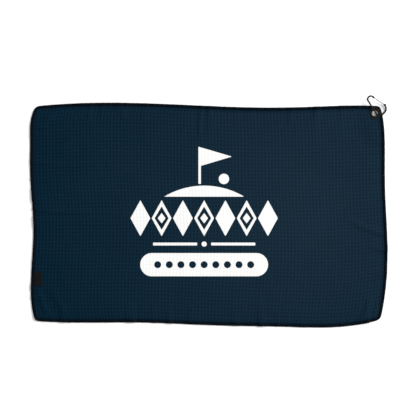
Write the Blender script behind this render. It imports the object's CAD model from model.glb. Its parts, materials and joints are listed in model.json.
import json
import math

import bpy
import numpy as np
from mathutils import Matrix, Vector


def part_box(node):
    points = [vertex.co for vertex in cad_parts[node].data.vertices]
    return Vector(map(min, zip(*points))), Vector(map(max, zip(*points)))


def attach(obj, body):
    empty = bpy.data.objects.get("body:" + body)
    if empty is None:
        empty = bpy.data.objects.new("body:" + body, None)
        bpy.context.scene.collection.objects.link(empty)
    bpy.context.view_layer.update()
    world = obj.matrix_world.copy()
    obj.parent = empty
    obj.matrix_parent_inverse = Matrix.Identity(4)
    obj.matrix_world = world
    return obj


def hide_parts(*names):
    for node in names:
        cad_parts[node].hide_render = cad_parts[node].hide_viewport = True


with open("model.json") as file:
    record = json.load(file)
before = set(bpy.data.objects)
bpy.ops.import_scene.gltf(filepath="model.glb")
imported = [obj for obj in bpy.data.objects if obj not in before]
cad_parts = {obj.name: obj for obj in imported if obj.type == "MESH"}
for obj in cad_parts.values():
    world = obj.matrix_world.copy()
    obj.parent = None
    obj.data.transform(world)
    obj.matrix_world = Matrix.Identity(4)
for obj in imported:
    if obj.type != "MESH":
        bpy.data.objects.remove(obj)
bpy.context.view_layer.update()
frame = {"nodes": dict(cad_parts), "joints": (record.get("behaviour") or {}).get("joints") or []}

MM = 0.001

# ---------------------------------------------------------------- camera
# Straight down on the laid towel, from far away with a long lens.
VIEW_CENTRE = (2.15 * MM, 8.1 * MM)
VIEW_WIDTH = 723.2 * MM
CAMERA_HEIGHT = 3.2

camera_data = bpy.data.cameras.new("camera")
camera_data.sensor_width = 36.0
camera_data.lens = camera_data.sensor_width * CAMERA_HEIGHT / VIEW_WIDTH
camera_data.clip_end = 20.0
camera = bpy.data.objects.new("camera", camera_data)
camera.location = (*VIEW_CENTRE, CAMERA_HEIGHT)
bpy.context.scene.collection.objects.link(camera)
bpy.context.scene.camera = camera

# ---------------------------------------------------------------- sizes
CLOTH_THICK = 1.8 * MM
CLOTH_PRESSED = 1.2 * MM         # under the eyelet's flanges and in the hem
RELIEF = 0.85 * MM               # depth of a waffle cell
CELLS = (105, 60)                # waffle cells along X and Y
HEM_WIDTH = 4.5 * MM
HEM_THICK = 2.6 * MM
HEM_TUCK = 1.3 * MM              # from the hem's outer edge to the cloth's cut edge
STITCH_PITCH = 1.5 * MM          # overlock stitches along the hem
THREAD_BULGE = 0.2 * MM
CORNER_REACH = 8.0 * MM
CORNER_INSET = 1.4 * MM
FILM_LIFT = 0.08 * MM
FILM_THICK = 0.22 * MM
FILM_FOLLOWS = 0.38              # how far the film dips into the waffle's cells
FILM_STEP = 0.95 * MM
EYELET_OFFSET = 1.4 * MM         # from the clip's hinge to the eyelet's middle
EYELET_LEAN = math.radians(13.0)
FLANGE_RADIUS = 10.5 * MM
HOLE_RADIUS = 8.0 * MM           # the cloth's hole, hidden between flange and washer
SEED = 11

joints = {j["name"]: j for j in frame["joints"]}
hinge = Vector(joints["clip_swing"]["pos_m"])
gate_side = Vector(joints["clip_swing"]["axis"]).normalized()
spine_dir = gate_side.cross(Vector((0, 0, 1)))
eyelet = hinge - gate_side * EYELET_OFFSET
eyelet_turn = Matrix.Rotation(-EYELET_LEAN, 3, gate_side)
eyelet_place = (Matrix.Translation(eyelet) @ eyelet_turn.to_4x4()
                @ Matrix.Rotation(math.atan2(spine_dir.y, spine_dir.x), 4, "Z"))


# ---------------------------------------------------------------- small tools
def smoothstep(low, high, x):
    f = np.clip((x - low) / (high - low), 0.0, 1.0)
    return f * f * (3 - 2 * f)


def mesh_object(name, verts, faces, material):
    """A smooth-shaded mesh piece that rides on the towel's body."""
    mesh = bpy.data.meshes.new(name)
    mesh.from_pydata([tuple(v) for v in verts], [], [tuple(int(i) for i in f) for f in faces])
    mesh.validate()
    mesh.materials.append(material)
    mesh.polygons.foreach_set("use_smooth", [True] * len(mesh.polygons))
    obj = bpy.data.objects.new(name, mesh)
    bpy.context.scene.collection.objects.link(obj)
    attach(obj, "towel")
    return obj


def lathe(profile, segments):
    """Verts and faces of a closed profile of (radius, height) points turned about Z."""
    count = len(profile)
    angles = np.arange(segments) * 2 * math.pi / segments
    verts = [(r * math.cos(a), r * math.sin(a), z) for a in angles for r, z in profile]
    faces = []
    for i in range(segments):
        j = (i + 1) % segments
        for k in range(count):
            m = (k + 1) % count
            faces.append((i * count + k, j * count + k, j * count + m, i * count + m))
    return verts, faces


# ---------------------------------------------------------------- outline
OUTWARD = {"top": (0, 1), "right": (1, 0), "bottom": (0, -1), "left": (-1, 0)}
RUNS_ON_X = ("top", "bottom")


def hem_wall(side):
    """The hem's outer wall in the frame: (position along the side, offset across it)."""
    mesh = frame["nodes"]["edge_" + side].data
    out = Vector((*OUTWARD[side], 0))
    spots = set()
    for face in mesh.polygons:
        if abs(face.normal.z) < 0.3 and face.normal.dot(out) > 0.8:
            for i in face.vertices:
                x, y = mesh.vertices[i].co.xy
                spots.add((round(x, 6), round(y, 6)) if side in RUNS_ON_X
                          else (round(y, 6), round(x, 6)))
    run, off = zip(*sorted(spots))
    run, off = np.array(run), np.array(off)
    keep = np.r_[True, np.diff(run) > 1e-5]
    return run[keep], off[keep]


walls = {side: hem_wall(side) for side in OUTWARD}
LENGTH = walls["top"][0][-1] - walls["top"][0][0]
WIDTH = walls["left"][0][-1] - walls["left"][0][0]


def across(side, run):
    """Smooth offset of a side at a position along it (cubic through the wall's points)."""
    xs, ys = walls[side]
    slopes = np.gradient(ys, xs)
    i = np.clip(np.searchsorted(xs, run) - 1, 0, len(xs) - 2)
    width = xs[i + 1] - xs[i]
    f = (run - xs[i]) / width
    a, b = ys[i], ys[i + 1]
    ta, tb = slopes[i] * width, slopes[i + 1] * width
    return ((2 * f**3 - 3 * f**2 + 1) * a + (f**3 - 2 * f**2 + f) * ta
            + (3 * f**2 - 2 * f**3) * b + (f**3 - f**2) * tb)


def side_point(side, f):
    """A point of the outline, f from 0 to 1 along the side in +X or +Y."""
    xs, _ = walls[side]
    run = xs[0] + (xs[-1] - xs[0]) * np.asarray(f, float)
    off = across(side, run)
    return np.stack((run, off) if side in RUNS_ON_X else (off, run), -1)


def cloth_point(s, t):
    """A point of the laid cloth: s along X and t along Y, from 0 to 1, inside the four
    wavy sides, so that the weave follows them."""
    s, t = np.asarray(s, float)[..., None], np.asarray(t, float)[..., None]
    low, high = side_point("bottom", s[..., 0]), side_point("top", s[..., 0])
    left, right = side_point("left", t[..., 0]), side_point("right", t[..., 0])
    bl, br = side_point("bottom", 0.0), side_point("bottom", 1.0)
    tl, tr = side_point("top", 0.0), side_point("top", 1.0)
    point = ((1 - t) * low + t * high + (1 - s) * left + s * right
             - (1 - s) * (1 - t) * bl - s * (1 - t) * br - (1 - s) * t * tl - s * t * tr)
    # the hem turns each corner on a small radius
    a = np.clip(1 - np.minimum(s, 1 - s) * LENGTH / CORNER_REACH, 0, 1)
    b = np.clip(1 - np.minimum(t, 1 - t) * WIDTH / CORNER_REACH, 0, 1)
    inward = CORNER_INSET * (a * b) ** 2
    return point + inward * np.concatenate((np.sign(0.5 - s), np.sign(0.5 - t)), -1)


# ---------------------------------------------------------------- lie of the cloth
# The corner's swell over the clip's big end, as in the frame: a raised cosine along the
# spine's heading, faded in across it.
SWELL_HEIGHT = 2 * (eyelet.z - CLOTH_THICK / 2)
SWELL_HALF = SWELL_HEIGHT / 2 * math.pi / math.tan(EYELET_LEAN)
FADE = (-48 * MM, -13 * MM)

# Creases: start, end, half width, height, all in mm.
CREASES = [
    ((-11, 192), (-13, 116), 3.2, 2.2),
    ((-306, 10), (-190, 6), 3.0, 2.2),
    ((-304, 92), (-205, 88), 4.5, 1.3),
    ((304, -34), (236, -6), 5.0, 2.2),
    ((306, -62), (268, -50), 5.0, 1.3),
    ((262, -182), (284, -132), 5.0, 2.0),
    ((236, -184), (262, -150), 4.5, 1.4),
    ((282, -182), (300, -142), 4.0, 1.4),
    ((-292, -132), (-268, -182), 5.0, 2.0),
    ((-272, -128), (-236, -184), 6.0, 1.2),
    ((-202, 192), (-205, 152), 4.5, 1.6),
    ((-151, 192), (-148, 150), 4.0, 1.5),
    ((144, 190), (140, 150), 4.5, 1.4),
    ((-34, -188), (-30, -150), 4.0, 1.3),
    ((-294, 150), (-262, 176), 5.0, 1.5),
    ((150, -40), (220, 66), 10.0, 0.8),
    ((-230, 36), (-180, 120), 11.0, 0.8),
    ((-250, -60), (-150, -20), 10.0, 0.7),
]
PUCKER_REACH = 19 * MM
PUCKER_HEIGHT = 1.9 * MM
PUCKER_WAVES = ((57, 1.0), (37, 0.8), (23, 0.5), (15.5, 0.35))   # wavelength in mm, share
PRESS_ZONE = (11.5 * MM, 17 * MM)       # round the eyelet: flat, then into the swell
CALM_ZONE = (26 * MM, 75 * MM)          # round the eyelet: no creases, then all of them
CREASE_BOW = 0.06                       # share of a crease's length
CREASE_GROWS = (-0.12, 0.1)
CREASE_FADES = (0.45, 1.1)
PLUMP_HEIGHT = 1.7 * MM          # the thick weave stands off the ground inside the hem
PLUMP_REACH = 30 * MM


def swell(x, y):
    dx, dy = x - eyelet.x, y - eyelet.y
    along = dx * spine_dir.x + dy * spine_dir.y
    beside = dx * gate_side.x + dy * gate_side.y
    shifted = np.clip((along - SWELL_HALF / 2) / SWELL_HALF, -1, 1)
    rise = SWELL_HEIGHT / 2 * (1 + np.cos(math.pi * shifted)) * smoothstep(*FADE, beside)
    plane = eyelet.z - CLOTH_THICK / 2 + along * math.tan(EYELET_LEAN)
    flat = 1 - smoothstep(*PRESS_ZONE, np.hypot(dx, dy))
    return rise * (1 - flat) + plane * flat


def pucker(run, depth, phase):
    """Ripples that the hem's tight stitching draws into the cloth."""
    wave = np.zeros_like(run)
    for k, (length, share) in enumerate(PUCKER_WAVES):
        wave += share * np.sin(2 * math.pi * run / (length * MM) + phase * (k + 1.7))
    swing = np.clip(wave + 0.15, 0, None)
    slow = 0.55 + 0.45 * np.sin(2 * math.pi * run / (190 * MM) + phase * 2.3)
    return swing * slow * np.exp(-np.clip(depth, 0, None) / PUCKER_REACH)


def lift(x, y):
    """Height of the cloth's middle over where it would lie flat."""
    sides = ((x, across("top", x) - y, 0.4), (x, y - across("bottom", x), 2.1),
             (y, across("right", y) - x, 4.4), (y, x - across("left", y), 5.9))
    rise = np.zeros_like(x)
    for run, depth, phase in sides:
        rise += PUCKER_HEIGHT * pucker(run, depth, phase)
    for (ax, ay), (bx, by), half, height in CREASES:
        ax, ay, bx, by = ax * MM, ay * MM, bx * MM, by * MM
        span = math.hypot(bx - ax, by - ay)
        ux, uy = (bx - ax) / span, (by - ay) / span
        f = ((x - ax) * ux + (y - ay) * uy) / span
        bend = CREASE_BOW * span * np.sin(math.pi * f) * math.sin(ax * 70)
        d = -(x - ax) * uy + (y - ay) * ux - bend
        end = smoothstep(*CREASE_GROWS, f) * (1 - smoothstep(*CREASE_FADES, f))
        rise += height * MM * np.exp(-(d / (half * MM)) ** 2) * end
    inside = np.minimum.reduce([depth for _, depth, _ in sides])
    billow = 0.5 + 0.5 * np.sin(x * 21 + 1.3 * np.sin(y * 17 + 0.6))
    billow = 0.6 * billow + 0.2 + 0.2 * np.sin(y * 26 + 1.1 * np.sin(x * 13 + 2.0))
    rise += PLUMP_HEIGHT * (0.35 + 0.65 * billow) * smoothstep(0, PLUMP_REACH, inside)
    near = smoothstep(*CALM_ZONE, np.hypot(x - eyelet.x, y - eyelet.y))
    return rise * near + swell(x, y)


def middle(x, y):
    """Height of the cloth's middle surface."""
    return CLOTH_THICK / 2 + lift(x, y)


# ---------------------------------------------------------------- cloth
def cloth_grid(samples, face_up):
    """One face of the cloth: points, triangles and cell coordinates. Each waffle cell has
    ridges on its border and a square dimple; the back's cells are shifted by half."""
    nx, ny = CELLS[0] * samples, CELLS[1] * samples
    tuck_s, tuck_t = HEM_TUCK / LENGTH, HEM_TUCK / WIDTH
    s = tuck_s + (1 - 2 * tuck_s) * np.arange(nx + 1) / nx
    t = tuck_t + (1 - 2 * tuck_t) * np.arange(ny + 1) / ny
    ss, tt = np.meshgrid(s, t, indexing="ij")
    xy = cloth_point(ss, tt)
    x, y = xy[..., 0], xy[..., 1]
    i, j = np.meshgrid(np.arange(nx + 1), np.arange(ny + 1), indexing="ij")
    if samples == 3:
        on_x, on_y = i % 3 == 0, j % 3 == 0
    else:
        on_x, on_y = i % 2 == 1, j % 2 == 1
    depth = np.where(on_x & on_y, 0.0, np.where(on_x | on_y, 0.12, 1.0))
    edge = np.minimum(np.minimum(ss, 1 - ss) * LENGTH, np.minimum(tt, 1 - tt) * WIDTH)
    ring = np.hypot(x - eyelet.x, y - eyelet.y)
    open_cloth = (smoothstep(HEM_WIDTH - 1 * MM, HEM_WIDTH + 2.5 * MM, edge)
                  * smoothstep(FLANGE_RADIUS, FLANGE_RADIUS + 2.5 * MM, ring))
    half = (CLOTH_PRESSED + (CLOTH_THICK - CLOTH_PRESSED) * open_cloth) / 2
    surface = half - depth * RELIEF * open_cloth
    z = middle(x, y) + (surface if face_up else -surface)
    points = np.stack((x, y, z), -1).reshape(-1, 3)
    cells = np.stack((i / samples, j / samples), -1).reshape(-1, 2)
    index = np.arange((nx + 1) * (ny + 1)).reshape(nx + 1, ny + 1)
    a, b = index[:-1, :-1], index[1:, :-1]
    c, d = index[1:, 1:], index[:-1, 1:]
    # the diagonal runs from a ridge crossing to the middle of its dimple
    rising = ((i + j) % 2 == 0)[:-1, :-1] if samples == 2 else (
        ((i % 3 == 0) == (j % 3 == 0)) | ((i % 3 == 1) & (j % 3 == 1)))[:-1, :-1]
    one = np.where(rising[..., None], np.stack((a, b, c), -1), np.stack((a, b, d), -1))
    two = np.where(rising[..., None], np.stack((a, c, d), -1), np.stack((b, c, d), -1))
    faces = np.concatenate((one.reshape(-1, 3), two.reshape(-1, 3)))
    rim = np.concatenate((index[:-1, 0], index[-1, :-1], index[:0:-1, -1], index[0, :0:-1]))
    rim_at = np.concatenate((np.arange(nx) / nx, 1 + np.arange(ny) / ny,
                             2 + np.arange(nx) / nx, 3 + np.arange(ny) / ny))
    return points, faces, cells, rim, rim_at


def punch(points, faces):
    """Take the eyelet's hole out of a face of the cloth; give the hole's rim by angle."""
    dx, dy = points[:, 0] - eyelet.x, points[:, 1] - eyelet.y
    inside = np.hypot(dx, dy) < HOLE_RADIUS
    keep = ~inside[faces].all(1)
    faces = faces[keep]
    rim = np.unique(faces[inside[faces]])
    angle = np.arctan2(dy[rim], dx[rim])
    x = eyelet.x + HOLE_RADIUS * np.cos(angle)
    y = eyelet.y + HOLE_RADIUS * np.sin(angle)
    side = np.sign(points[rim, 2] - middle(points[rim, 0], points[rim, 1]))
    points[rim] = np.stack((x, y, middle(x, y) + side * CLOTH_PRESSED / 2), -1)
    order = np.argsort(angle)
    return faces, rim[order], angle[order]


def zip_loops(first, first_at, second, second_at, period):
    """Triangles between two closed loops of vertices placed by a shared parameter."""
    faces = []
    a, b = 0, 0
    na, nb = len(first), len(second)
    at_a = np.r_[first_at, first_at[0] + period]
    at_b = np.r_[second_at, second_at[0] + period]
    while a < na or b < nb:
        if b >= nb or (a < na and at_a[a + 1] <= at_b[b + 1]):
            faces.append((first[a % na], first[(a + 1) % na], second[b % nb]))
            a += 1
        else:
            faces.append((first[a % na], second[(b + 1) % nb], second[b % nb]))
            b += 1
    return np.array(faces)


def build_cloth(material):
    """Both faces of the cloth, joined round its cut edge and round the eyelet's hole."""
    top, top_faces, top_cells, top_rim, top_at = cloth_grid(3, True)
    low, low_faces, low_cells, low_rim, low_at = cloth_grid(2, False)
    top_faces, top_hole, top_angle = punch(top, top_faces)
    low_faces, low_hole, low_angle = punch(low, low_faces)
    shift = len(top)
    wall = zip_loops(top_rim, top_at, low_rim + shift, low_at, 4.0)[:, ::-1]
    bore = zip_loops(top_hole, top_angle, low_hole + shift, low_angle, 2 * math.pi)
    verts = np.concatenate((top, low))
    cells = np.concatenate((top_cells, low_cells + 0.5))
    faces = np.concatenate((top_faces, low_faces[:, ::-1] + shift, wall, bore))
    used = np.unique(faces)
    renumber = np.full(len(verts), -1)
    renumber[used] = np.arange(len(used))
    cloth = mesh_object("waffle_cloth", verts[used], renumber[faces], material)
    layer = cloth.data.uv_layers.new(name="cells")
    corners = np.zeros(len(cloth.data.loops), int)
    cloth.data.loops.foreach_get("vertex_index", corners)
    layer.data.foreach_set("uv", cells[used][corners].ravel())
    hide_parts("towel_cloth")
    return cloth


# ---------------------------------------------------------------- hems
HEM_SECTION = 14
ROWS_PER_STITCH = 5
THREAD_SLANT = 0.9               # stitches that a thread leans by as it goes round
INNER_REACH = 0.7 * MM           # the threads reach this much further in on the cloth
INNER_SPREAD = 0.22 * MM


def hem_point(side, f, depth):
    """A point of a hem: f from 0 to 1 along it, depth inward from its outer wall. The hem's
    ends lie on the corner's diagonal."""
    if side in RUNS_ON_X:
        s = depth / LENGTH + f * (1 - 2 * depth / LENGTH)
        t = depth / WIDTH if side == "bottom" else 1 - depth / WIDTH
    else:
        t = depth / WIDTH + f * (1 - 2 * depth / WIDTH)
        s = depth / LENGTH if side == "left" else 1 - depth / LENGTH
    s, t = np.broadcast_arrays(s, t)
    return cloth_point(s, t)


def flatten_at_eyelet(x, y):
    """How free the hem is of the eyelet's press, 0 under the flange to 1."""
    return smoothstep(FLANGE_RADIUS + 0.2 * MM, FLANGE_RADIUS + 2.6 * MM,
                      np.hypot(x - eyelet.x, y - eyelet.y))


def hem_lift(x, y, free):
    """Height of the hem's middle; its underside is level with the cloth's."""
    base = CLOTH_THICK / 2 + (HEM_THICK - CLOTH_THICK) / 2 * free
    return base + lift(x, y)


def build_hem(side, material, rng):
    """One side's overlocking: slanting threads wrapped round the cloth's edge."""
    length = LENGTH if side in RUNS_ON_X else WIDTH
    stitches = round(length / STITCH_PITCH)
    rows = stitches * ROWS_PER_STITCH + 1
    f = np.linspace(0, 1, rows)[:, None]
    turn = (np.arange(HEM_SECTION) + 0.5) * 2 * math.pi / HEM_SECTION
    cos, sin = np.cos(turn), np.sin(turn)
    out_x = np.sign(cos) * np.abs(cos) ** 0.7
    out_z = np.sign(sin) * np.abs(sin) ** 0.8
    phase = f * stitches + THREAD_SLANT * turn / (2 * math.pi)
    tension = rng.normal(0, 1, stitches + 3)
    pull = np.interp(phase - 0.5, np.arange(stitches + 3), tension)
    ridge = np.abs(np.sin(math.pi * phase)) ** 0.8
    swell_out = THREAD_BULGE * (ridge * (1 + 0.2 * pull) - 1)
    half_width = HEM_WIDTH / 2 + swell_out
    # the threads' inner ends are uneven
    inner = np.clip(-out_x, 0, 1)
    half_width = half_width + inner * (INNER_REACH + INNER_SPREAD * pull)
    depth = HEM_WIDTH / 2 - out_x * half_width
    xy = hem_point(side, f, depth)
    x, y = xy[..., 0], xy[..., 1]
    free = flatten_at_eyelet(x, y)
    half_thick = (HEM_THICK / 2 + swell_out) * free + CLOTH_PRESSED / 2 * (1 - free)
    dx, dy = x - eyelet.x, y - eyelet.y
    ring = np.hypot(dx, dy)
    push = np.maximum(ring, HOLE_RADIUS) / ring
    x, y = eyelet.x + dx * push, eyelet.y + dy * push
    z = hem_lift(x, y, free) + out_z * half_thick
    verts = np.stack((x, y, z), -1).reshape(-1, 3)
    index = np.arange(rows * HEM_SECTION).reshape(rows, HEM_SECTION)
    a, b = index[:-1], index[1:]
    c, d = np.roll(b, -1, 1), np.roll(a, -1, 1)
    faces = np.stack((a, b, c, d), -1).reshape(-1, 4)
    if side in ("top", "left"):
        faces = faces[:, ::-1]
    faces = faces.tolist() + [index[0].tolist(), index[-1, ::-1].tolist()]
    verts, faces = add_needle_line(side, length, verts, faces, rng)
    hem = mesh_object("hem_" + side, verts, faces, material)
    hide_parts("edge_" + side)
    return hem


def capsule(start, end, radius, sides=6):
    """A stitch: a thread from start to end with rounded ends."""
    start, end = np.array(start), np.array(end)
    along = (end - start) / np.linalg.norm(end - start)
    beside = np.cross(along, (0, 0, 1))
    beside /= np.linalg.norm(beside)
    upward = np.cross(beside, along)
    stations = ((start - along * radius * 0.6, 0.45), (start, 0.9),
                ((start + end) / 2, 1.0), (end, 0.9), (end + along * radius * 0.6, 0.45))
    angles = np.arange(sides) * 2 * math.pi / sides
    verts = [tuple(spot + radius * k * (math.cos(a) * beside + math.sin(a) * upward))
             for spot, k in stations for a in angles]
    faces = [list(range(sides))[::-1], list(range(4 * sides, 5 * sides))]
    for row in range(4):
        for i in range(sides):
            j = (i + 1) % sides
            faces.append([row * sides + i, row * sides + j,
                          (row + 1) * sides + j, (row + 1) * sides + i])
    return verts, faces


NEEDLE_PITCH = 3.0 * MM
NEEDLE_RADIUS = 0.2 * MM
NEEDLE_INSET = 1.1 * MM          # from the hem's inner side
NEEDLE_SHARE = (0.1, 0.86)       # of the pitch, where a stitch shows


def add_needle_line(side, length, verts, faces, rng):
    """The needle thread's stitches, along the hem's inner side on its upper face."""
    count = round((length - 2 * HEM_WIDTH) / NEEDLE_PITCH)
    start = HEM_WIDTH / length
    step = (1 - 2 * start) / count
    verts = verts.tolist()
    for i in range(count):
        f = start + (i + np.array(NEEDLE_SHARE)) * step
        depth = HEM_WIDTH - NEEDLE_INSET + rng.normal(0, 0.05, 2) * MM
        xy = hem_point(side, f, depth)
        x, y = xy[:, 0], xy[:, 1]
        free = flatten_at_eyelet(x, y)
        if free.min() < 0.6:
            continue
        z = hem_lift(x, y, free) + HEM_THICK / 2 * 0.86
        more, more_faces = capsule((x[0], y[0], z[0]), (x[1], y[1], z[1]), NEEDLE_RADIUS)
        shift = len(verts)
        verts += more
        faces += [[k + shift for k in face] for face in more_faces]
    return np.array(verts), faces


# ---------------------------------------------------------------- print
def film_outline():
    """The printed shapes' outlines, as segments, from the frame's film."""
    mesh = frame["nodes"]["print_film"].data
    top = max(v.co.z for v in mesh.vertices)
    count = {}
    for face in mesh.polygons:
        if face.normal.z > 0.9 and face.center.z > top - 0.02 * MM:
            spots = [tuple(round(c, 6) for c in mesh.vertices[i].co.xy) for i in face.vertices]
            for a, b in zip(spots, spots[1:] + spots[:1]):
                count[(a, b)] = count.get((a, b), 0) + 1
    return np.array([edge for edge in count if (edge[1], edge[0]) not in count])


def signed_distance(segments, x, y):
    """Distance to the outlines, positive inside the shapes."""
    best = np.full(x.shape, 1.0)
    inside = np.zeros(x.shape, bool)
    for (ax, ay), (bx, by) in segments:
        ex, ey = bx - ax, by - ay
        f = np.clip(((x - ax) * ex + (y - ay) * ey) / (ex * ex + ey * ey), 0, 1)
        best = np.minimum(best, (x - ax - f * ex) ** 2 + (y - ay - f * ey) ** 2)
        if ay != by:
            cross = (ay > y) != (by > y)
            inside ^= cross & (x < ax + (y - ay) / ey * ex)
    return np.sqrt(best) * np.where(inside, 1, -1)


def marching(level):
    """Polygons of the region where level is positive on a unit grid, and its border edges.
    Returns vertices in grid units."""
    nx, ny = level.shape
    spots, keys, faces, border = [], {}, [], []

    def corner(i, j):
        key = (i, j)
        if key not in keys:
            keys[key] = len(spots)
            spots.append((i, j))
        return keys[key]

    def crossing(i, j, m, n):
        key = (i, j, m, n) if (i, j) < (m, n) else (m, n, i, j)
        if key not in keys:
            i, j, m, n = key
            f = np.clip(level[i, j] / (level[i, j] - level[m, n]), 0.03, 0.97)
            keys[key] = len(spots)
            spots.append((i + f * (m - i), j + f * (n - j)))
        return keys[key]

    inside = level > 0
    any_in = inside[:-1, :-1] | inside[1:, :-1] | inside[1:, 1:] | inside[:-1, 1:]
    for i, j in np.argwhere(any_in):
        ring = [(i, j), (i + 1, j), (i + 1, j + 1), (i, j + 1)]
        loop = []
        for k in range(4):
            a, b = ring[k], ring[(k + 1) % 4]
            if inside[a]:
                loop.append((corner(*a), False))
            if inside[a] != inside[b]:
                loop.append((crossing(*a, *b), inside[a]))
        faces.append([v for v, _ in loop])
        for (v, leaves), (w, _) in zip(loop, loop[1:] + loop[:1]):
            if leaves:
                border.append((v, w))
    return np.array(spots, float), faces, border


def find_cell(x, y):
    """Cloth coordinates s, t of points, by repeated correction."""
    s, t = (x - walls["top"][0][0]) / LENGTH, (y - walls["left"][0][0]) / WIDTH
    for _ in range(6):
        miss = cloth_point(s, t) - np.stack((x, y), -1)
        s, t = s - miss[..., 0] / LENGTH, t - miss[..., 1] / WIDTH
    return s, t


def waffle_depth(s, t):
    """Depth of the woven surface under its ridges, 0 to 1, between the cloth's samples."""
    tuck_s, tuck_t = HEM_TUCK / LENGTH, HEM_TUCK / WIDTH
    u = (s - tuck_s) / (1 - 2 * tuck_s) * CELLS[0] * 3 % 3
    v = (t - tuck_t) / (1 - 2 * tuck_t) * CELLS[1] * 3 % 3
    from_ridge = np.minimum(np.minimum(u, 3 - u), 1)
    across_ridge = np.minimum(np.minimum(v, 3 - v), 1)
    return np.minimum(from_ridge, across_ridge)


def build_print(material):
    """The transfer film: the frame's outlines laid on the weave, dipping into its cells."""
    segments = film_outline()
    low, high = segments.min((0, 1)), segments.max((0, 1))
    nx, ny = (np.ceil((high - low) / FILM_STEP) + 4).astype(int)
    gx = low[0] + (np.arange(nx) - 1.5) * FILM_STEP
    gy = low[1] + (np.arange(ny) - 1.5) * FILM_STEP
    level = signed_distance(segments, *np.meshgrid(gx, gy, indexing="ij"))
    spots, faces, border = marching(level)
    x, y = gx[0] + spots[:, 0] * FILM_STEP, gy[0] + spots[:, 1] * FILM_STEP
    s, t = find_cell(x, y)
    dip = FILM_FOLLOWS * waffle_depth(s, t) * RELIEF
    top = middle(x, y) + CLOTH_THICK / 2 - dip + FILM_LIFT
    count = len(x)
    verts = np.concatenate((np.stack((x, y, top), -1), np.stack((x, y, top - FILM_THICK), -1)))
    faces = (faces + [[i + count for i in face[::-1]] for face in faces]
             + [[a, a + count, b + count, b] for a, b in border])
    film = mesh_object("print_emblem", verts, faces, material)
    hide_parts("print_film")
    return film


# ---------------------------------------------------------------- label
LABEL_FOLD = 0.34 * MM           # radius of the fold
LABEL_ROWS = 48
LABEL_STEPS = 12                 # along each layer
LABEL_LIFT = 0.36 * MM           # how far the fold stands off the cloth
LABEL_BELLY = 0.18 * MM
SEAM_RADIUS = 0.2 * MM


def build_label(material):
    """A woven tab folded in two, its cut ends sewn down beside the hem, the fold inward."""
    low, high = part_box("side_label")
    x0, x1, y0, y1 = low[0], high[0], low[1], high[1]
    run = np.linspace(0, 1, LABEL_STEPS)
    arc = np.linspace(-math.pi / 2, math.pi / 2, 7)[1:-1]
    outer = ([(x0 + (x1 - x0 - LABEL_FOLD) * f, 0.0) for f in run]
             + [(x1 - LABEL_FOLD + LABEL_FOLD * math.cos(a),
                 LABEL_FOLD * (1 + math.sin(a))) for a in arc]
             + [(x1 - LABEL_FOLD - (x1 - x0 - LABEL_FOLD) * f, 2 * LABEL_FOLD) for f in run])
    outer = np.array(outer)
    verts = []
    for r in range(LABEL_ROWS):
        f = r / (LABEL_ROWS - 1)
        y = y0 + (y1 - y0) * f
        x = outer[:, 0]
        inward = (x - x0) / (x1 - x0)
        curl = LABEL_LIFT * inward ** 2 * (0.55 + 0.45 * math.cos(2 * math.pi * (f - 0.1)))
        belly = LABEL_BELLY * np.sin(math.pi * np.clip(inward, 0, 1)) * (outer[:, 1] > LABEL_FOLD)
        base = middle(x, np.full_like(x, y)) + CLOTH_THICK / 2
        z = base + outer[:, 1] * (0.86 + 0.14 * inward) + curl + belly
        verts += list(zip(x, np.full_like(x, y), z))
    count = len(outer)
    faces = []
    for r in range(LABEL_ROWS - 1):
        for k in range(count):
            m = (k + 1) % count
            faces.append((r * count + k, (r + 1) * count + k, (r + 1) * count + m, r * count + m))
    faces.append(tuple(range(count)))
    faces.append(tuple(range(LABEL_ROWS * count - 1, (LABEL_ROWS - 1) * count - 1, -1)))
    label = mesh_object("woven_label", verts, faces, material)
    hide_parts("side_label")
    return label


def build_label_stitches(material):
    """The stitches that hold the label, where the frame has them."""
    mesh = frame["nodes"]["label_stitches"].data
    spots = np.array([v.co for v in mesh.vertices])
    order = np.argsort(spots[:, 1])
    groups = np.split(order, np.nonzero(np.diff(spots[order, 1]) > 0.5 * MM)[0] + 1)
    verts, faces = [], []
    for group in groups:
        x, y0, y1 = spots[group, 0].mean(), spots[group, 1].min(), spots[group, 1].max()
        y = np.array([y0 + SEAM_RADIUS, y1 - SEAM_RADIUS])
        base = middle(np.array([x, x]), y) + CLOTH_THICK / 2 + 2 * LABEL_FOLD * 0.87
        more, more_faces = capsule((x, y[0], base[0]), (x, y[1], base[1]), SEAM_RADIUS, 8)
        shift = len(verts)
        verts += more
        faces += [[k + shift for k in face] for face in more_faces]
    stitches = mesh_object("label_seam", verts, faces, material)
    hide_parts("label_stitches")
    return stitches


# ---------------------------------------------------------------- eyelet
# Section through the ring, (radius, height) in mm, over the cloth's middle.
LIP_RADIUS, LIP_WALL = 6.0, 1.0
FLANGE = [(6.5, 0.985), (7.2, 0.93), (8.0, 0.94), (9.0, 0.985), (9.8, 0.99),
          (10.25, 0.93), (10.45, 0.8), (10.49, 0.64)]
UNDERSIDE = [(10.4, 0.6), (7.4, 0.6), (6.12, 0.6), (6.09, 0.3), (6.09, -0.3), (6.09, -0.88)]
CURL = [(6.2, -0.965), (6.45, -0.975), (6.57, -1.05), (6.55, -1.15), (6.4, -1.2),
        (6.1, -1.15), (5.7, -0.95), (5.35, -0.74), (5.1, -0.42), (5.0, 0.0)]


def build_eyelet(material):
    """The painted eyelet, one stamping: a rolled lip with a flat flange, and the tube that
    goes through the cloth and curls over the washer."""
    lip = [(LIP_RADIUS - LIP_WALL * math.cos(a), LIP_WALL * math.sin(a))
           for a in np.linspace(0, math.pi / 2, 9)[1:]]
    profile = [(r * MM, z * MM) for r, z in lip + FLANGE + UNDERSIDE + CURL]
    verts, faces = lathe(profile, 96)
    verts = [eyelet_place @ Vector(v) for v in verts]
    ring = mesh_object("eyelet_ring", verts, faces, material)
    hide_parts("grommet_eyelet")
    return ring


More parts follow.
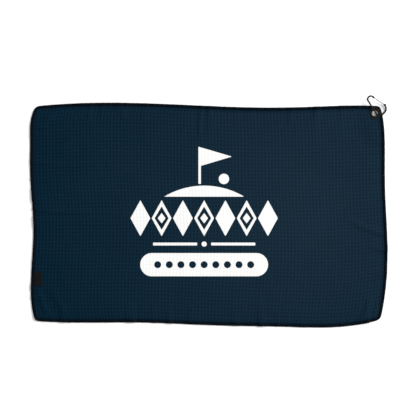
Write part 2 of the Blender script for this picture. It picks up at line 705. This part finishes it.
# ---------------------------------------------------------------- materials
def material(name, colour, roughness, metallic=0.0):
    """A Principled material; returns it with its node tree and shader."""
    mat = bpy.data.materials.new(name)
    mat.use_nodes = True
    tree = mat.node_tree
    shader = tree.nodes["Principled BSDF"]
    shader.inputs["Base Color"].default_value = (*colour, 1)
    shader.inputs["Roughness"].default_value = roughness
    shader.inputs["Metallic"].default_value = metallic
    return mat, tree, shader


def add(tree, kind, **settings):
    """A node; each setting goes to the socket or the property of that name."""
    node = tree.nodes.new("ShaderNode" + kind)
    for key, value in settings.items():
        if key in node.inputs:
            node.inputs[key].default_value = value
        else:
            setattr(node, key, value)
    return node


def noise(tree, scale, detail=3.0, rough=0.5):
    """Noise on the object's own coordinates."""
    where = add(tree, "TexCoord")
    node = add(tree, "TexNoise", Scale=scale, Detail=detail, Roughness=rough)
    tree.links.new(where.outputs["Object"], node.inputs["Vector"])
    return node.outputs["Fac"]


def loops(tree, stretch):
    """Distance to the nearest of many small pile loops, drawn out along one axis."""
    where = add(tree, "TexCoord")
    mapping = add(tree, "Mapping", Scale=stretch)
    tree.links.new(where.outputs["Object"], mapping.inputs["Vector"])
    node = add(tree, "TexVoronoi", Scale=1.0)
    tree.links.new(mapping.outputs["Vector"], node.inputs["Vector"])
    return node.outputs["Distance"]


def math_node(tree, operation, a, b=None, c=None):
    node = add(tree, "Math", operation=operation)
    for socket, value in zip(node.inputs, (a, b, c)):
        if value is None:
            continue
        if isinstance(value, (int, float)):
            socket.default_value = value
        else:
            tree.links.new(value, socket)
    return node.outputs[0]


def ramp(tree, value, stops):
    node = add(tree, "ValToRGB")
    elements = node.color_ramp.elements
    while len(elements) < len(stops):
        elements.new(0.5)
    for element, (place, colour) in zip(elements, stops):
        element.position = place
        element.color = (*colour, 1)
    tree.links.new(value, node.inputs["Fac"])
    return node.outputs["Color"]


def bump(tree, shader, height, distance, strength=1.0):
    node = add(tree, "Bump", Strength=strength, Distance=distance)
    tree.links.new(height, node.inputs["Height"])
    tree.links.new(node.outputs["Normal"], shader.inputs["Normal"])
    return node


NAVY = (0.0008, 0.0142, 0.0300)
NAVY_DEEP = (0.0003, 0.0076, 0.0165)
NAVY_LIGHT = (0.0016, 0.0214, 0.0425)
NAP_GREY = (0.0058, 0.0070, 0.0078)
NAP_SPOT = (0.17, 0.02, 0.0)
THREAD_BLACK = (0.0003, 0.0018, 0.0040)
THREAD_LIGHT = (0.0014, 0.0044, 0.0080)
PRINT_WHITE = (0.78, 0.78, 0.775)
PRINT_GREY = (0.72, 0.72, 0.715)
LABEL_BLACK = (0.0050, 0.0046, 0.0046)
LABEL_DEEP = (0.0025, 0.0024, 0.0025)
LABEL_LIGHT = (0.0080, 0.0074, 0.0072)
LABEL_WEFT = 0.42 * MM
LABEL_WARP = 0.6 * MM
SEAM_BLACK = (0.004, 0.004, 0.0045)
SEAM_LIGHT = (0.010, 0.010, 0.0105)


def cloth_material():
    """Microfibre: pale ridges over dark cells, yarns that run along X on two sides of a cell
    and along Y on the others, and a short fuzz."""
    mat, tree, shader = material("navy waffle microfibre", NAVY, 0.45)
    shader.inputs["Specular IOR Level"].default_value = 0.03
    uv = add(tree, "UVMap", uv_map="cells")
    split = add(tree, "SeparateXYZ")
    tree.links.new(uv.outputs["UV"], split.inputs["Vector"])

    def from_centre(axis):
        """0 in the middle of a cell to 1 on its ridges, along one axis."""
        part = math_node(tree, "FRACT", split.outputs[axis])
        return math_node(tree, "ABSOLUTE", math_node(
            tree, "MULTIPLY_ADD", part, 2.0, -1.0))

    across_x, across_y = from_centre("X"), from_centre("Y")
    terrace = math_node(tree, "MAXIMUM", across_x, across_y)
    ridge = math_node(tree, "POWER", terrace, 1.8)
    side = math_node(tree, "GREATER_THAN", across_x, across_y)
    yarn_x = loops(tree, (900, 2300, 1500))
    yarn_y = loops(tree, (2300, 900, 1500))
    yarn = add(tree, "Mix", data_type="FLOAT")
    tree.links.new(side, yarn.inputs[0])
    tree.links.new(yarn_x, yarn.inputs[2])
    tree.links.new(yarn_y, yarn.inputs[3])
    loop = yarn.outputs[0]
    fuzz = noise(tree, 1100, 3.0, 0.65)
    slow = noise(tree, 9, 3.0, 0.55)
    level = math_node(tree, "MULTIPLY_ADD", ridge, 0.42, 0.02)
    level = math_node(tree, "MULTIPLY_ADD", loop, -0.34, level)
    level = math_node(tree, "MULTIPLY_ADD", fuzz, 0.40, level)
    level = math_node(tree, "MULTIPLY_ADD", slow, 0.16, level)
    colour = ramp(tree, level, [(0.1, NAVY_DEEP), (0.45, NAVY), (0.9, NAVY_LIGHT)])
    # the nap lies lighter and greyer around a spot right of the middle
    where = add(tree, "TexCoord")
    away = add(tree, "VectorMath", operation="DISTANCE")
    tree.links.new(where.outputs["Object"], away.inputs[0])
    away.inputs[1].default_value = NAP_SPOT
    lie = math_node(tree, "MULTIPLY_ADD", away.outputs["Value"], -2.4, 0.92)
    lie = math_node(tree, "MULTIPLY_ADD", slow, 0.3, lie)
    lie = math_node(tree, "MINIMUM", math_node(tree, "MAXIMUM", lie, 0.0), 1.0)
    nap = add(tree, "Mix", data_type="RGBA", blend_type="ADD")
    nap.inputs[7].default_value = (*NAP_GREY, 1)
    tree.links.new(lie, nap.inputs[0])
    tree.links.new(colour, nap.inputs[6])

    # the stitching presses the pile down, and it lies darker there
    def from_edge(axis, cells):
        place = split.outputs[axis]
        return math_node(tree, "MINIMUM", place, math_node(tree, "SUBTRACT", cells, place))

    edge = math_node(tree, "MINIMUM", from_edge("X", CELLS[0]), from_edge("Y", CELLS[1]))
    free = math_node(tree, "MULTIPLY_ADD", edge, 1.1, -0.6)
    free = math_node(tree, "MINIMUM", math_node(tree, "MAXIMUM", free, 0.0), 1.0)
    pressed = add(tree, "Mix", data_type="RGBA")
    pressed.inputs[6].default_value = (*NAVY_DEEP, 1)
    tree.links.new(free, pressed.inputs[0])
    tree.links.new(nap.outputs[2], pressed.inputs[7])
    tree.links.new(pressed.outputs[2], shader.inputs["Base Color"])
    pile = math_node(tree, "MULTIPLY_ADD", loop, -0.75,
                     math_node(tree, "MULTIPLY_ADD", fuzz, 0.5, ridge))
    bump(tree, shader, pile, 0.45 * MM, 1.0)
    return mat


def plain_thread(name, colour, lighter):
    """Spun polyester thread: fine fibres, and slow changes in shade."""
    mat, tree, shader = material(name, colour, 0.5)
    shader.inputs["Specular IOR Level"].default_value = 0.03
    fibre = noise(tree, 1800, 3.0, 0.6)
    slow = noise(tree, 60, 2.0, 0.5)
    mix = math_node(tree, "ADD", math_node(tree, "MULTIPLY", fibre, 0.6),
                    math_node(tree, "MULTIPLY", slow, 0.4))
    tree.links.new(ramp(tree, mix, [(0.3, colour), (0.75, lighter)]),
                   shader.inputs["Base Color"])
    bump(tree, shader, fibre, 0.15 * MM, 0.6)
    return mat


def film_material():
    """Matt white transfer film, a little mottled."""
    mat, tree, shader = material("printed film", PRINT_WHITE, 0.5)
    shader.inputs["Specular IOR Level"].default_value = 0.35
    grain = noise(tree, 900, 3.0, 0.6)
    slow = noise(tree, 35, 3.0, 0.5)
    mix = math_node(tree, "ADD", math_node(tree, "MULTIPLY", grain, 0.5),
                    math_node(tree, "MULTIPLY", slow, 0.5))
    tree.links.new(ramp(tree, mix, [(0.25, PRINT_GREY), (0.6, PRINT_WHITE)]),
                   shader.inputs["Base Color"])
    rough = math_node(tree, "MULTIPLY_ADD", grain, 0.25, 0.4)
    tree.links.new(rough, shader.inputs["Roughness"])
    bump(tree, shader, grain, 0.08 * MM, 0.5)
    return mat


def label_material():
    """Black damask tape: fine ribs of weft along X."""
    mat, tree, shader = material("black woven tape", LABEL_BLACK, 0.55)
    shader.inputs["Specular IOR Level"].default_value = 0.05
    where = add(tree, "TexCoord")
    split = add(tree, "SeparateXYZ")
    tree.links.new(where.outputs["Object"], split.inputs["Vector"])
    weft = math_node(tree, "SINE", math_node(tree, "MULTIPLY", split.outputs["Y"],
                                             2 * math.pi / LABEL_WEFT))
    warp = math_node(tree, "SINE", math_node(tree, "MULTIPLY", split.outputs["X"],
                                             2 * math.pi / LABEL_WARP))
    weave = math_node(tree, "MULTIPLY", weft, warp)
    rib = math_node(tree, "ADD", math_node(tree, "MULTIPLY", weft, 0.6),
                    math_node(tree, "MULTIPLY", weave, 0.4))
    fuzz = noise(tree, 1500, 2.0, 0.6)
    mix = math_node(tree, "MULTIPLY_ADD", rib, 0.2, 0.25)
    mix = math_node(tree, "ADD", mix, math_node(tree, "MULTIPLY", fuzz, 0.5))
    tree.links.new(ramp(tree, mix, [(0.2, LABEL_DEEP), (0.8, LABEL_LIGHT)]),
                   shader.inputs["Base Color"])
    bump(tree, shader, rib, 0.1 * MM, 0.7)
    return mat


def painted_metal(name, colour, roughness, metallic, specular, peel_depth, chip):
    """Black enamel or plating: fine orange peel, smudges in the gloss, faint rubbed spots."""
    mat, tree, shader = material(name, colour, roughness, metallic)
    shader.inputs["Specular IOR Level"].default_value = specular
    peel = noise(tree, 1400, 2.0, 0.5)
    smudge = noise(tree, 160, 4.0, 0.6)
    spots = noise(tree, 420, 5.0, 0.65)
    rough = math_node(tree, "MULTIPLY_ADD", smudge, 0.3, roughness - 0.15)
    tree.links.new(rough, shader.inputs["Roughness"])
    tree.links.new(ramp(tree, spots, [(0.0, colour), (0.66, colour), (0.74, chip)]),
                   shader.inputs["Base Color"])
    bump(tree, shader, peel, peel_depth, 0.5)
    return mat


cloth_mat = cloth_material()
thread_mat = plain_thread("overlock thread", THREAD_BLACK, THREAD_LIGHT)
seam_mat = plain_thread("label thread", SEAM_BLACK, SEAM_LIGHT)
film_mat = film_material()
label_mat = label_material()
eyelet_mat = painted_metal("black enamelled brass", colour=(0.0042, 0.0042, 0.0046),
                           roughness=0.45, metallic=0.0, specular=0.14,
                           peel_depth=0.02 * MM, chip=(0.008, 0.0075, 0.007))
clip_mat = painted_metal("black plated wire", colour=(0.004, 0.004, 0.0044),
                         roughness=0.42, metallic=0.0, specular=0.2,
                         peel_depth=0.015 * MM, chip=(0.012, 0.011, 0.010))
gate_mat = painted_metal("black plated spring wire", colour=(0.02, 0.02, 0.02),
                         roughness=0.42, metallic=0.6, specular=0.3,
                         peel_depth=0.015 * MM, chip=(0.035, 0.034, 0.033))

rng = np.random.default_rng(SEED)
cloth = build_cloth(cloth_mat)
hems = [build_hem(side, thread_mat, rng) for side in OUTWARD]
emblem = build_print(film_mat)
label = build_label(label_mat)
seam = build_label_stitches(seam_mat)
ring = build_eyelet(eyelet_mat)
for node, mat in (("grommet_washer", eyelet_mat), ("carabiner_body", clip_mat),
                  ("carabiner_gate", gate_mat)):
    part = frame["nodes"][node]
    part.data.materials.clear()
    part.data.materials.append(mat)

# ---------------------------------------------------------------- stage
FLOOR_REACH = 30.0
FLOOR_DROP = 0.2 * MM
SKY_STRENGTH = 0.62
SUN_ENERGY = 2.0
SUN_ANGLE = math.radians(34)
SUN_TURN = (math.radians(-20), math.radians(47), 0)
SOFTBOX_PLACE = (1.3, 0.45, 1.5)
SOFTBOX_AIM = (0.1, 0, 0)
SOFTBOX_SIZE = 1.0
SOFTBOX_POWER = 16


def place_light(name, kind, energy):
    """A light in the scene, with its data for the rest of its settings."""
    data = bpy.data.lights.new(name, kind)
    data.energy = energy
    light = bpy.data.objects.new(name, data)
    bpy.context.scene.collection.objects.link(light)
    return light, data


floor_mesh = bpy.data.meshes.new("floor")
floor_mesh.from_pydata([(-FLOOR_REACH, -FLOOR_REACH, 0), (FLOOR_REACH, -FLOOR_REACH, 0),
                        (FLOOR_REACH, FLOOR_REACH, 0), (-FLOOR_REACH, FLOOR_REACH, 0)],
                       [], [(0, 1, 2, 3)])
floor_mat, _, _ = material("pale floor", (0.97, 0.97, 0.97), 0.9)
floor_mesh.materials.append(floor_mat)
floor = bpy.data.objects.new("floor", floor_mesh)
bpy.context.scene.collection.objects.link(floor)
floor.location.z = -FLOOR_DROP

world = bpy.data.worlds.new("studio")
bpy.context.scene.world = world
world.use_nodes = True
world.node_tree.nodes["Background"].inputs["Color"].default_value = (1, 1, 1, 1)
world.node_tree.nodes["Background"].inputs["Strength"].default_value = SKY_STRENGTH

softbox, softbox_data = place_light("softbox", "AREA", SOFTBOX_POWER)
softbox_data.shape = "SQUARE"
softbox_data.size = SOFTBOX_SIZE
softbox.location = SOFTBOX_PLACE
softbox_aim = Vector(SOFTBOX_AIM) - Vector(SOFTBOX_PLACE)
softbox.rotation_euler = softbox_aim.to_track_quat("-Z", "Y").to_euler()

sun, sun_data = place_light("sun", "SUN", SUN_ENERGY)
sun_data.angle = SUN_ANGLE
sun.rotation_euler = SUN_TURN

bpy.context.scene.view_settings.view_transform = "Standard"
bpy.context.scene.view_settings.look = "None"
